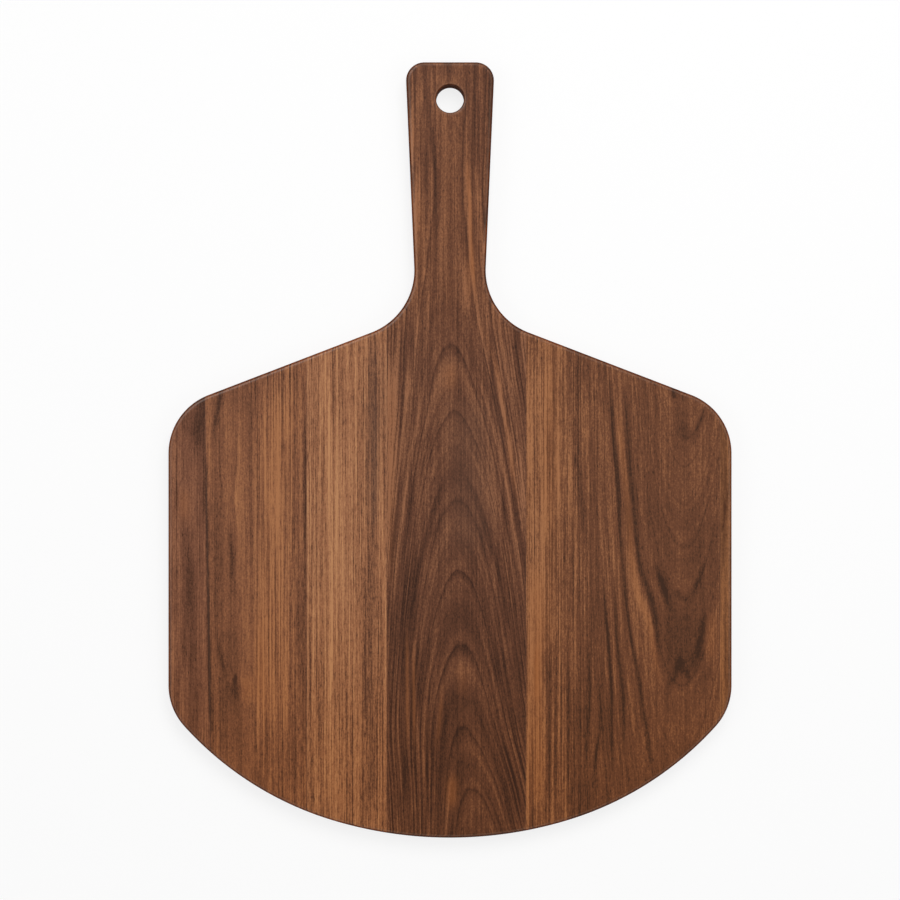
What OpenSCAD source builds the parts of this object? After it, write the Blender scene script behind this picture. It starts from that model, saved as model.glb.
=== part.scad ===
// Paddle charcuterie board: staves glued edge to edge and cut to a paddle outline with a foot curve,
// straight sides, sloping shoulders, a handle that widens towards its end, and a hanging hole.
// It lies flat: X across the board, Y along it towards the handle, Z up, and the origin under its middle.

/* [Board] */
// Length from the end of the handle to the bottom of the foot curve
board_l = 559; // [500:1:640]
// Width across the straight sides
board_w = 406; // [340:1:440]
// Thickness of the wood
board_t = 19; // [14:0.5:32]
// Radius of the eased edge all round, on the face and on the underside
edge_r = 3; // [1:0.5:5]

/* [Handle] */
// Width at the end of the handle
handle_end_w = 64.5; // [50:0.5:84]
// Lean of each side of the handle, which narrows towards the shoulders, in degrees
handle_taper = 2.5; // [0:0.1:4]
// Radius of the two corners at the end
end_corner_r = 13; // [11:0.5:24]
// Radius of the hollow curve between the handle and the shoulder
neck_r = 48; // [20:1:60]

/* [Shoulders] */
// Distance from the end of the handle to the point where the two shoulder lines would meet
shoulder_drop = 173; // [140:1:210]
// Slope of the shoulders, in degrees
shoulder_slope = 21; // [8:0.5:30]
// Radius of the corner between the shoulder and the side
shoulder_r = 45; // [20:1:80]

/* [Foot curve] */
// Radius of the middle of the foot curve
foot_mid_r = 292; // [250:1:330]
// Angle that the middle of the foot curve takes up on each side of the centre line, in degrees
foot_mid_angle = 17; // [8:0.5:24]
// Radius of the foot curve beyond its middle
foot_side_r = 236; // [220:1:246]
// Radius of the corner between the foot curve and the side
foot_corner_r = 44; // [20:1:60]

/* [Hanging hole] */
// Diameter of the hole
hole_d = 20; // [12:0.5:26]
// Distance from the end of the handle to the centre of the hole
hole_inset = 26.5; // [22:0.5:40]
// Radius of the eased rim of the hole, on the face and on the underside
hole_edge_r = 2; // [0.5:0.5:4]

/* [Staves] */
// Place of the joint beside the left edge stave, as a share of half the width
left_edge_joint_share = -0.866; // [-0.92:0.001:-0.7]
// Place of the joint between the two middle staves on the left, as a share of half the width
left_joint_share = -0.508; // [-0.6:0.001:-0.4]
// Place of the joint on the left of the handle stave, as a share of half the width
handle_left_joint_share = -0.224; // [-0.3:0.001:-0.18]
// Place of the joint on the right of the handle stave, as a share of half the width
handle_right_joint_share = 0.269; // [0.18:0.001:0.4]
// Place of the joint beside the right edge strip, as a share of half the width
right_edge_joint_share = 0.957; // [0.8:0.001:0.97]
// Lean of the joint beside the left edge stave, which widens towards the foot, in degrees
left_edge_joint_lean = 0.9; // [0:0.1:1.5]
// Thickness of the glue in each joint
glue_t = 0.1; // [0.05:0.05:0.4]

/* [Hidden] */
$fn = 120;

// How far a cutting shape runs past what it cuts
overrun = 5;
// How far inside the outline its flat middle starts
core_inset = 1.5 * edge_r;
// Depth of the band along a straight edge, which runs in under the flat middle
band = 2 * edge_r;
// Radius of the eased edge past which the step below widens faster, so that its thin face still meshes
wide_edge_r = 3;
// How far a rounder stretch of the edge lies back from the flatter one beside it, so that no face
// lies along another
edge_step = edge_r / 60 * max(1, edge_r / wide_edge_r);
// How far the stretch that lies back runs on inside the other
lap = 1;
// How far the circle of the eased edge stands proud of the faces, which it crosses at a small angle
crease = edge_r / 300;

half_l = board_l / 2;
half_w = board_w / 2;

// Angles of the outward normals of the straight edges on the right, from X
end_out = 90;
handle_out = -handle_taper;
shoulder_out = 90 - shoulder_slope;
side_out = 0;

function towards(angle) = [cos(angle), sin(angle)];

// Distance from the origin to the line through a point that has this normal
function line_distance(point, out) = point * towards(out);

// Point where two lines meet, each given by the angle of its normal and its distance
function meet(out_1, distance_1, out_2, distance_2) =
    [
        distance_1 * sin(out_2) - distance_2 * sin(out_1),
        distance_2 * cos(out_1) - distance_1 * cos(out_2)
    ] / sin(out_2 - out_1);

handle_line = line_distance([handle_end_w / 2, half_l], handle_out);
shoulder_line = line_distance([0, half_l - shoulder_drop], shoulder_out);

// Centres of the curves on the right: each curve touches the lines or curves on both sides of it
end_corner = meet(end_out, half_l - end_corner_r, handle_out, handle_line - end_corner_r);
neck = meet(handle_out, handle_line + neck_r, shoulder_out, shoulder_line + neck_r);
shoulder = meet(shoulder_out, shoulder_line - shoulder_r, side_out, half_w - shoulder_r);
foot_mid = [0, foot_mid_r - half_l];
foot_side_out = foot_mid_angle - end_out;
foot_side = foot_mid + (foot_mid_r - foot_side_r) * towards(foot_side_out);
foot_corner_x = half_w - foot_corner_r;
foot_corner_fall = sqrt(pow(foot_side_r - foot_corner_r, 2) - pow(foot_corner_x - foot_side.x, 2));
foot_corner = [foot_corner_x, foot_side.y - foot_corner_fall];
foot_corner_out = atan2(foot_corner.y - foot_side.y, foot_corner.x - foot_side.x);

// Point on a curve where its normal has this angle, or at a depth inside the curve there
function on_curve(centre, r, out, depth = 0) = centre + (r - depth) * towards(out);

// Corner of the flat middle between the handle and the shoulder
neck_root = meet(handle_out, handle_line - core_inset, shoulder_out, shoulder_line - core_inset);

// Right side of the flat middle, which runs straight across the round curves
core_right = [
    on_curve(end_corner, end_corner_r, end_out, core_inset),
    on_curve(end_corner, end_corner_r, handle_out, core_inset),
    neck_root,
    on_curve(shoulder, shoulder_r, shoulder_out, core_inset),
    on_curve(shoulder, shoulder_r, side_out, core_inset),
    on_curve(foot_corner, foot_corner_r, side_out, core_inset),
    on_curve(foot_corner, foot_corner_r, foot_corner_out, core_inset),
    on_curve(foot_side, foot_side_r, foot_side_out, core_inset),
];
core_left = [for (i = [len(core_right) - 1 : -1 : 0]) [-core_right[i].x, core_right[i].y]];

// Joints from the left to the right
joint_shares = [
    left_edge_joint_share,
    left_joint_share,
    handle_left_joint_share,
    handle_right_joint_share,
    right_edge_joint_share,
];
joint_leans = [left_edge_joint_lean, 0, 0, 0, 0];

// Place across the board, at a distance along it, of one side of a joint's glue: -1 is its left side and
// 1 its right side. The places before the first joint and after the last are past the edges.
function joint_x(i, side, y) =
    i < 0 ? -half_w - overrun
    : i == len(joint_shares) ? half_w + overrun
    : half_w * joint_shares[i] - y * tan(joint_leans[i]) + side * glue_t / 2;

// What easing takes off a square corner at the origin that points along X and Y
module corner_waste() {
    translate([crease - edge_r, crease - edge_r])
        difference() {
            square(edge_r + overrun);
            circle(edge_r);
        }
}

// Upright section of the wood out to an edge that is eased above and below
module edge_section(reach) {
    difference() {
        square([reach, board_t]);
        translate([reach, board_t])
            corner_waste();
        translate([reach, 0])
            mirror([0, 1])
                corner_waste();
    }
}

// Disc whose rim makes a round corner
module round_corner(centre, r) {
    translate(centre)
        rotate_extrude()
            edge_section(r);
}

// Slice of a disc whose rim makes a long curve
module round_edge(centre, r, from_out, to_out) {
    translate(centre)
        rotate_extrude(start = from_out, angle = to_out - from_out)
            edge_section(r);
}

// Slice of a ring whose inner side makes a hollow curve
module hollow_edge(centre, r, depth, from_out, to_out) {
    translate(centre)
        rotate_extrude(start = from_out + 180, angle = to_out - from_out)
            translate([r + depth, 0])
                mirror([1, 0])
                    edge_section(depth);
}

// Band along a straight edge, which runs clockwise round the board
module straight_edge(start, finish, out) {
    inward = -band * towards(out);
    difference() {
        linear_extrude(board_t)
            polygon([start, finish, finish + inward, start + inward]);
        for (up = [0, 1])
            translate(start)
                rotate([90, 0, out])
                    translate([0, up * board_t, -overrun])
                        linear_extrude(norm(finish - start) + 2 * overrun)
                            mirror([0, 1 - up])
                                corner_waste();
    }
}

module right_edges() {
    handle_top = on_curve(end_corner, end_corner_r, handle_out);
    handle_foot = on_curve(neck, -neck_r, handle_out) + lap * towards(handle_out - 90);
    shoulder_top = on_curve(neck, -neck_r, shoulder_out) + lap * towards(shoulder_out + 90);
    shoulder_foot = on_curve(shoulder, shoulder_r, shoulder_out);
    side_top = on_curve(shoulder, shoulder_r, side_out);
    side_foot = on_curve(foot_corner, foot_corner_r, side_out);
    neck_depth = norm(neck_root - neck) - neck_r + core_inset;

    round_corner(end_corner, end_corner_r - edge_step);
    straight_edge(handle_top, handle_foot, handle_out);
    hollow_edge(neck, neck_r - edge_step, neck_depth, handle_out, shoulder_out);
    straight_edge(shoulder_top, shoulder_foot, shoulder_out);
    round_corner(shoulder, shoulder_r - edge_step);
    straight_edge(side_top, side_foot, side_out);
    round_corner(foot_corner, foot_corner_r - 2 * edge_step);
    round_edge(foot_side, foot_side_r - edge_step, foot_side_out - asin(lap / foot_side_r), foot_corner_out);
}

// Round hole through the handle, with both of its rims eased
module hanging_hole() {
    r = hole_d / 2;
    translate([0, half_l - hole_inset])
        rotate_extrude()
            difference() {
                translate([0, -overrun])
                    square([r + hole_edge_r, board_t + 2 * overrun]);
                translate([r, hole_edge_r])
                    square([hole_edge_r, board_t - 2 * hole_edge_r]);
                for (z = [hole_edge_r, board_t - hole_edge_r])
                    translate([r + hole_edge_r, z])
                        circle(hole_edge_r);
            }
}

// The whole board, before it is divided into staves and glue
module blank() {
    difference() {
        union() {
            linear_extrude(board_t)
                polygon(concat(core_right, core_left));
            straight_edge([-end_corner.x, half_l], [end_corner.x, half_l], end_out);
            right_edges();
            mirror([1, 0, 0])
                right_edges();
            round_edge(foot_mid, foot_mid_r, -180 - foot_side_out, foot_side_out);
        }
        hanging_hole();
    }
}

// What lies between one side of a joint and one side of the same joint or the next
module between(left_joint, left_side, right_joint, right_side) {
    foot = -half_l - overrun;
    head = half_l + overrun;
    intersection() {
        blank();
        translate([0, 0, -overrun])
            linear_extrude(board_t + 2 * overrun)
                polygon([
                    [joint_x(left_joint, left_side, foot), foot],
                    [joint_x(right_joint, right_side, foot), foot],
                    [joint_x(right_joint, right_side, head), head],
                    [joint_x(left_joint, left_side, head), head],
                ]);
    }
}

// Staves are counted from the left, and each glue line has the number of the stave on its left
module stave(i) {
    between(i - 1, 1, i, -1);
}

module glue_line(i) {
    color("#4a3020")
        between(i, -1, i, 1);
}

module left_edge_stave() {
    color("#754c38")
        stave(0);
}

module left_outer_stave() {
    color("#80533a")
        stave(1);
}

module left_inner_stave() {
    color("#906144")
        stave(2);
}

module handle_stave() {
    color("#674432")
        stave(3);
}

module right_wide_stave() {
    color("#714833")
        stave(4);
}

module right_edge_strip() {
    color("#784f38")
        stave(5);
}

left_edge_stave();
left_outer_stave();
left_inner_stave();
handle_stave();
right_wide_stave();
right_edge_strip();
glue_line(0);  // glue_line_left_edge
glue_line(1);  // glue_line_left
glue_line(2);  // glue_line_handle_left
glue_line(3);  // glue_line_handle_right
glue_line(4);  // glue_line_right_edge
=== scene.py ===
import math

import bmesh
import bpy
import numpy as np
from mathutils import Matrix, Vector


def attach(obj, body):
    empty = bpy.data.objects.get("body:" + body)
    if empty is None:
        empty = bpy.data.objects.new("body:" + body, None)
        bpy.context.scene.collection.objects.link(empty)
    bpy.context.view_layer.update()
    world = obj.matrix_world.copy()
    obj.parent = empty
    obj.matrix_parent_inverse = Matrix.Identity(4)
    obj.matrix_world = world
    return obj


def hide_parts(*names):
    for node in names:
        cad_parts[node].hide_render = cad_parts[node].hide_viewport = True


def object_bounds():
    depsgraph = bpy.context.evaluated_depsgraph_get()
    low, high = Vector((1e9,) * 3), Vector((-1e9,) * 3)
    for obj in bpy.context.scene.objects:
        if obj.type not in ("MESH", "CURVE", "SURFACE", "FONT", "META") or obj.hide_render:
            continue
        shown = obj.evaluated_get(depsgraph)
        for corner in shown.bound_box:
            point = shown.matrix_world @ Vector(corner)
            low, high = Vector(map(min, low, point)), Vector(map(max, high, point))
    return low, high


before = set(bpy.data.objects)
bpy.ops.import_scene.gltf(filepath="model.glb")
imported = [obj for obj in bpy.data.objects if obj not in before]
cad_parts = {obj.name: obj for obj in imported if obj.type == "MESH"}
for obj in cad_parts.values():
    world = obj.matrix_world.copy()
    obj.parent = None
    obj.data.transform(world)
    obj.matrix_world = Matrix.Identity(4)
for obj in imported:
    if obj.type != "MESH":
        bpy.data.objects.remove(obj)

cadLow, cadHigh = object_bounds()

# Lengths below are in millimetres, and meshes are made in metres.
mm = 0.001
touching = 1e-6  # a gap under this is none
halfLength = (cadHigh.y - cadLow.y) / 2 / mm
halfWidth = (cadHigh.x - cadLow.x) / 2 / mm
thickness = (cadHigh.z - cadLow.z) / mm

# Outline, as it is cut: every curve touches the lines or curves on both sides of it
outline = {
    "handleEndWidth": 64.5,
    "handleTaper": 2.5,  # degrees
    "endCorner": 13.0,  # this and the other curves are radii
    "neck": 48.0,
    "shoulderDrop": 173.0,  # from the handle's end to where the two shoulder lines would meet
    "shoulderSlope": 21.0,  # degrees
    "shoulder": 45.0,
    "footMiddle": 292.0,
    "footMiddleAngle": 17.0,  # degrees on each side of the middle
    "footSide": 236.0,
    "footCorner": 44.0,
    "easedEdge": 3.0,
    "easedSteps": 7,
    "wallSteps": 4,
}

hole = {
    "diameter": 20.0,
    "inset": 26.5,
    "rim": 2.0,
    "rimSteps": 6,
    "wallSteps": 4,
    "raysBelow": 2.2,  # how far down the handle its ring of rays starts, in diameters
}

# The CAD node of each joint's glue, its place at the middle of the length as a share of half the width,
# and how many degrees it leans
joints = {
    "leftEdge": {"node": "glue_line_left_edge", "share": -0.866, "lean": 0.9},
    "left": {"node": "glue_line_left", "share": -0.508, "lean": 0.0},
    "handleLeft": {"node": "glue_line_handle_left", "share": -0.224, "lean": 0.0},
    "handleRight": {"node": "glue_line_handle_right", "share": 0.269, "lean": 0.0},
    "rightEdge": {"node": "glue_line_right_edge", "share": 0.957, "lean": 0.0},
}
glueThickness = 0.1

# Sizes of the meshes' cells, and about how long the lines are that they divide
cells = {
    "across": 0.75,
    "along": 4.0,
    "outline": 2.0,
    "ray": 1.2,
    "border": 0.3,  # the narrow row beside an edge
    "crossing": 4000,  # steps in which a joint's crossing of the outline is looked for
    "jointLength": 400.0,
    "neckLength": 200.0,
    "rayLength": 12.0,
}


# Unit vectors that point at these angles
def towards(out):
    return np.stack([np.cos(out), np.sin(out)], axis=-1)


# Point where two lines meet, each given by the angle of its normal and its distance from the origin
def meet(outA, distanceA, outB, distanceB):
    x = distanceA * math.sin(outB) - distanceB * math.sin(outA)
    y = distanceB * math.cos(outA) - distanceA * math.cos(outB)
    return np.array([x, y]) / math.sin(outB - outA)


# The right side of the outline, clockwise from the middle of the handle's end, as stretches that are
# each an arc about a centre or a straight line. The left side is its mirror image.
class Outline:
    def __init__(self, sizes):
        endOut = math.pi / 2
        handleOut = -math.radians(sizes["handleTaper"])
        shoulderOut = math.pi / 2 - math.radians(sizes["shoulderSlope"])
        handleLine = np.dot([sizes["handleEndWidth"] / 2, halfLength], towards(handleOut))
        shoulderLine = np.dot([0.0, halfLength - sizes["shoulderDrop"]], towards(shoulderOut))
        endR, neckR, shoulderR = sizes["endCorner"], sizes["neck"], sizes["shoulder"]
        footR, footSideR, cornerR = sizes["footMiddle"], sizes["footSide"], sizes["footCorner"]
        footOut = math.radians(sizes["footMiddleAngle"]) - math.pi / 2
        foot = np.array([0.0, footR - halfLength])
        footSide = foot + (footR - footSideR) * towards(footOut)
        cornerX = halfWidth - cornerR
        fall = math.sqrt((footSideR - cornerR) ** 2 - (cornerX - footSide[0]) ** 2)
        corner = np.array([cornerX, footSide[1] - fall])
        cornerOut = math.atan2(corner[1] - footSide[1], corner[0] - footSide[0])
        end = meet(endOut, halfLength - endR, handleOut, handleLine - endR)
        neck = meet(handleOut, handleLine + neckR, shoulderOut, shoulderLine + neckR)
        shoulder = meet(shoulderOut, shoulderLine - shoulderR, 0.0, halfWidth - shoulderR)
        # centre, radius, and the angle of the normal at both ends; the hollow neck's radius is negative
        arcs = [
            (np.array([0.0, halfLength]), 0.0, endOut, endOut),
            (end, endR, endOut, handleOut),
            (neck, -neckR, handleOut, shoulderOut),
            (shoulder, shoulderR, shoulderOut, 0.0),
            (corner, cornerR, 0.0, cornerOut),
            (footSide, footSideR, cornerOut, footOut),
            (foot, footR, footOut, -math.pi / 2),
        ]
        rows = []
        length = 0.0
        last = None
        for centre, radius, outFrom, outTo in arcs:
            start = centre + radius * towards(outFrom)
            gap = 0.0 if last is None else np.linalg.norm(start - last)
            if gap > touching:
                rows.append((length, *last, 0.0, outFrom, 0.0, *((start - last) / gap)))
                length += gap
            if radius:
                turn = outTo - outFrom
                rows.append((length, *centre, radius, outFrom, turn / abs(radius * turn), 0.0, 0.0))
                length += abs(radius * turn)
            last = centre + radius * towards(outTo)
        table = np.array(rows)
        self.starts, self.bases, self.radii = table[:, 0], table[:, 1:3], table[:, 3]
        self.outs, self.turns, self.runs = table[:, 4], table[:, 5], table[:, 6:8]
        self.length = length
        # in order: end, end corner, handle side, neck, shoulder line, shoulder, side, foot corner, foot
        self.handleTop, self.neckTop, self.neckFoot = self.starts[2:5]
        self.sideTop, self.sideFoot = self.starts[6:8]

    # Points at a distance s along the outline and a depth inside it: on each stretch the point is the
    # base, plus the radius less the depth along the normal, plus the way along the straight line
    def points(self, s, depth):
        s = (np.asarray(s, float) + self.length) % (2 * self.length) - self.length
        way = np.abs(s)
        i = np.searchsorted(self.starts, way + touching, side="right") - 1
        along = (way - self.starts[i])[:, None]
        out = self.outs[i] + self.turns[i] * along[:, 0]
        place = self.bases[i] + (self.radii[i][:, None] - depth) * towards(out) + self.runs[i] * along
        place[:, 0] *= np.where(s < 0, -1.0, 1.0)
        return place


edge = Outline(outline)


# Line that one side of a joint's glue follows: its place across the board is at + lean * y
def jointSide(name, side):
    joint = joints[name]
    return {
        "at": halfWidth * joint["share"] + side * glueThickness / 2,
        "lean": -math.tan(math.radians(joint["lean"])),
    }


# Distance along the outline where a joint line crosses it at the head or the foot: the outline is
# divided finely there, and its distance is read off at the line's place across the board
def crossing(line, end, depth):
    side = 1.0 if line["at"] > 0 else -1.0
    narrowest = edge.neckTop + (edge.neckFoot - edge.neckTop) * 0.1  # a tenth of the way down the neck
    span = (narrowest, edge.sideTop) if end == "head" else (edge.sideFoot, edge.length)
    s = side * np.linspace(*span, num=cells["crossing"])
    place = edge.points(s, depth)
    reach = side * (place[:, 0] - line["lean"] * place[:, 1])
    order = np.argsort(reach)
    return float(np.interp(side * line["at"], reach[order], s[order]))


# Shares from 0 to 1 in even steps, with one narrow step beside each end where a border is asked for
def shares(length, step, borders=(0.0, 0.0)):
    count = max(2, round(length / step))
    first, last = borders[0] / length, 1 - borders[1] / length
    inner = np.linspace(first, last, count)
    head = [0.0] if borders[0] else []
    tail = [1.0] if borders[1] else []
    return np.concatenate([head, inner, tail])


# Points on the straight line between two points, at these shares of it
def along(start, finish, share):
    return start + (finish - start) * share[:, None]


# Face patch between four chains that share their corners: the sum of the two ruled patches, less the
# patch that their corners span
def patch(foot, head, left, right, u, v):
    u, v = u[None, :, None], v[:, None, None]
    ruled = (1 - v) * foot[None] + v * head[None] + (1 - u) * left[:, None] + u * right[:, None]
    corners = (1 - v) * ((1 - u) * foot[0] + u * foot[-1]) + v * ((1 - u) * head[0] + u * head[-1])
    return ruled - corners


# Points in space from points in the plane, at one height
def raised(points, z):
    return np.concatenate([points, np.full(points.shape[:-1] + (1,), z)], axis=-1)


# Depth and height of the rings of the eased edge and the wall: a quarter round above, the wall, and a
# quarter round below
def edgeProfile(radius, steps, wallSteps):
    turn = np.linspace(0, math.pi / 2, steps)
    top = np.stack([radius * (1 - np.sin(turn)), thickness - radius * (1 - np.cos(turn))], axis=-1)
    wall = np.linspace(thickness - radius, radius, wallSteps + 1)[1:-1]
    middle = np.stack([np.zeros(len(wall)), wall], axis=-1)
    foot = top[::-1] * [1, -1] + [0, thickness]
    return np.concatenate([top, middle, foot])


# Stave or glue line between two joint lines: its two faces, and the band of rings round its edge. The
# handle stave's sides run on up the neck to a row below the hole, and the end of the handle is a ring
# of rays between the outline and the rim of the hole.
def staveGrids(leftLine, rightLine, isHandle, isGlue):
    profile = edgeProfile(outline["easedEdge"], outline["easedSteps"], outline["wallSteps"])
    border = cells["border"]
    holeCentre = np.array([0.0, halfLength - hole["inset"]])
    rowBelow = edge.handleTop + hole["raysBelow"] * hole["diameter"]

    # Chains of points of one ring, clockwise, with the same number of points at every depth
    def chains(depth):
        headFrom = crossing(leftLine, "head", depth) if leftLine else -edge.sideTop
        headTo = crossing(rightLine, "head", depth) if rightLine else edge.sideTop
        footFrom = crossing(leftLine, "foot", depth) if leftLine else -edge.sideFoot
        footTo = crossing(rightLine, "foot", depth) if rightLine else edge.sideFoot
        if footFrom > 0:
            footFrom -= 2 * edge.length
        if footTo < 0:
            footTo += 2 * edge.length
        # clockwise the foot runs from the right joint to the left one, through the middle of the foot
        if rightLine and rightLine["at"] < 0 or leftLine is None:
            footTo -= 2 * edge.length if footTo > 0 else 0
        if footFrom < footTo:
            footFrom += 2 * edge.length

        # Points of the outline between two distances along it, at these shares of the way
        def run(start, finish, share):
            return edge.points(start + (finish - start) * share, depth)

        foot = run(footFrom, footTo, across)
        if isHandle:
            leftRise, rightRise = run(headFrom, -rowBelow, rise), run(headTo, rowBelow, rise)
            end = edge.points(rowBelow * np.linspace(-1, 1, endCount), depth)
        else:
            end = run(headFrom, headTo, across)
            leftRise, rightRise = end[:1], end[-1:]
        left = np.concatenate([along(foot[0], leftRise[0], upright), leftRise[1:]])
        right = np.concatenate([along(foot[-1], rightRise[0], upright), rightRise[1:]])
        return {"foot": foot, "left": left, "right": right, "end": end}

    # How finely each chain is divided
    leftAt = leftLine["at"] if leftLine else -halfWidth
    rightAt = rightLine["at"] if rightLine else halfWidth
    if isGlue:
        across = np.array([0.0, 1.0])
    else:
        sides = (0.0 if leftLine else border, 0.0 if rightLine else border)
        across = shares(rightAt - leftAt, cells["across"], sides)
    upright = shares(cells["jointLength"], cells["along"], (border, 0.0 if isHandle else border))
    rise = shares(cells["neckLength"], cells["outline"])
    endCount = round(2 * rowBelow / cells["outline"])

    top = chains(outline["easedEdge"])
    grids = []
    for z in (thickness, 0.0):
        if isHandle:
            lengths = np.linalg.norm(np.diff(top["left"], axis=0), axis=1)
            way = np.concatenate([[0], np.cumsum(lengths)])
            row = along(top["end"][0], top["end"][-1], across)
            face = patch(top["foot"], row, top["left"], top["right"], across, way / way[-1])
            grids.append(raised(face, z))
            loop = np.concatenate([top["end"], row[-2::-1]])
            ray = loop - holeCentre
            angle = np.arctan2(ray[:, 1], ray[:, 0])
            rim = holeCentre + (hole["diameter"] / 2 + hole["rim"]) * towards(angle)
            reach = shares(cells["rayLength"], cells["ray"], (border, border))[:, None, None]
            grids.append(raised(loop[None] * (1 - reach) + rim[None] * reach, z))
        else:
            face = patch(top["foot"], top["end"], top["left"], top["right"], across, upright)
            grids.append(raised(face, z))
    rings = []
    for depth, z in profile:
        ring = chains(depth)
        up, over = ring["left"], ring["end"][1:-1]
        down, back = ring["right"][::-1], ring["foot"][-2::-1]
        rings.append(raised(np.concatenate([up, over, down, back]), z))
    grids.append(np.stack(rings))
    if isHandle:
        rimProfile = edgeProfile(hole["rim"], hole["rimSteps"], hole["wallSteps"])
        radius = hole["diameter"] / 2 + rimProfile[:, 0]
        bore = holeCentre + radius[:, None, None] * towards(angle)[None]
        heights = np.broadcast_to(rimProfile[:, 1:2, None], bore.shape[:2] + (1,))
        grids.append(np.concatenate([bore, heights], axis=-1))
    return grids


# How the meshes are closed and smoothed: lengths in metres, and an angle in degrees
finish = {"weld": 2e-6, "sliver": 1e-7, "sharpFrom": 40}


# Closed mesh from grids of points: each cell becomes a face, and points that meet are merged
def meshFromGrids(name, grids):
    faces = []
    count = 0
    for grid in grids:
        rows, columns = grid.shape[:2]
        index = count + np.arange(rows * columns).reshape(rows, columns)
        corners = [index[:-1, :-1], index[:-1, 1:], index[1:, 1:], index[1:, :-1]]
        faces.append(np.stack(corners, axis=-1).reshape(-1, 4))
        count += rows * columns
    points = np.concatenate([grid.reshape(-1, 3) for grid in grids]) * mm
    mesh = bpy.data.meshes.new(name)
    mesh.from_pydata(points, [], np.concatenate(faces))
    work = bmesh.new()
    work.from_mesh(mesh)
    bmesh.ops.remove_doubles(work, verts=work.verts, dist=finish["weld"])
    bmesh.ops.dissolve_degenerate(work, edges=work.edges, dist=finish["sliver"])
    bmesh.ops.recalc_face_normals(work, faces=work.faces)
    work.to_mesh(mesh)
    work.free()
    mesh.shade_smooth()
    mesh.set_sharp_from_angle(angle=math.radians(finish["sharpFrom"]))
    return mesh


# How the wood of each stave grew and is marked. Places are across and along the board from its middle.
# node: the CAD node whose place it takes
# between: the joints on its left and on its right
# colours: its dark, middle and light tones, in linear red, green and blue
# heart: the line that the arches are centred on, as (along, across) points
# depth: how far below the face the heart of the tree lies, as (along, depth) points
# reach: how far from the heart line the rings show in full, and where they have gone
# flat: how far from the heart line the wood is smooth, with few fine lines
# crests: where along the heart line a dark ring comes up to the face
# spacing: distance between the other rings
# marks: (tone, warmth, width, (across, along), ...): a light or dark streak along a path
# ringTone, streakTone, fineTone: how strongly rings, broad streaks and fine lines show
# follow: how far the fine lines beside the heart line follow the rings instead of running straight
# knots: (across, along, radius, push, darkness): a knot that the lines run round
leftEdgeStave = {
    "node": "left_edge_stave",
    "between": (None, "leftEdge"),
    "slot": "wood_left_edge",
    "colours": [(0.06, 0.024, 0.013), (0.196, 0.077, 0.042), (0.37, 0.156, 0.077)],
    "heart": [(-280, -188), (280, -184)],
    "depth": [(-280, 80), (280, 60)],
    "reach": (20, 40),
    "flat": 16,
    "crests": [-150, -60, 10],
    "spacing": 4.0,
    "ringTone": 0.08,
    "follow": 0.0,
    "streakTone": 0.95,
    "fineTone": 2.1,
    "marks": [
        (-0.2, -0.1, 5, (-184, 60), (-181, 30), (-179, -8)),
        (-0.14, 0, 3, (-193, 36), (-186, 16), (-178, -10)),
        (0.22, 0, 2, (-199, 24), (-199, -60), (-199, -190)),
        (0.16, 0, 3, (-197, -40), (-197, -120)),
        (-0.14, 0, 3, (-181, -124), (-180, -210)),
        (-0.4, 0, 1.8, (-190, -40), (-188, -90), (-190, -124), (-193, -178)),
        (-0.22, 0, 1.4, (-184, -70), (-185, -130), (-187, -190)),
        (-0.3, 0, 1, (-197, -24), (-197, -42)),
        (0.05, 0.3, 4, (-192, -20), (-191, -60)),
        (-0.6, -0.2, 0.6, (-175.8, 4), (-174.8, -72), (-173.6, -146), (-172.5, -220)),
    ],
}

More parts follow.
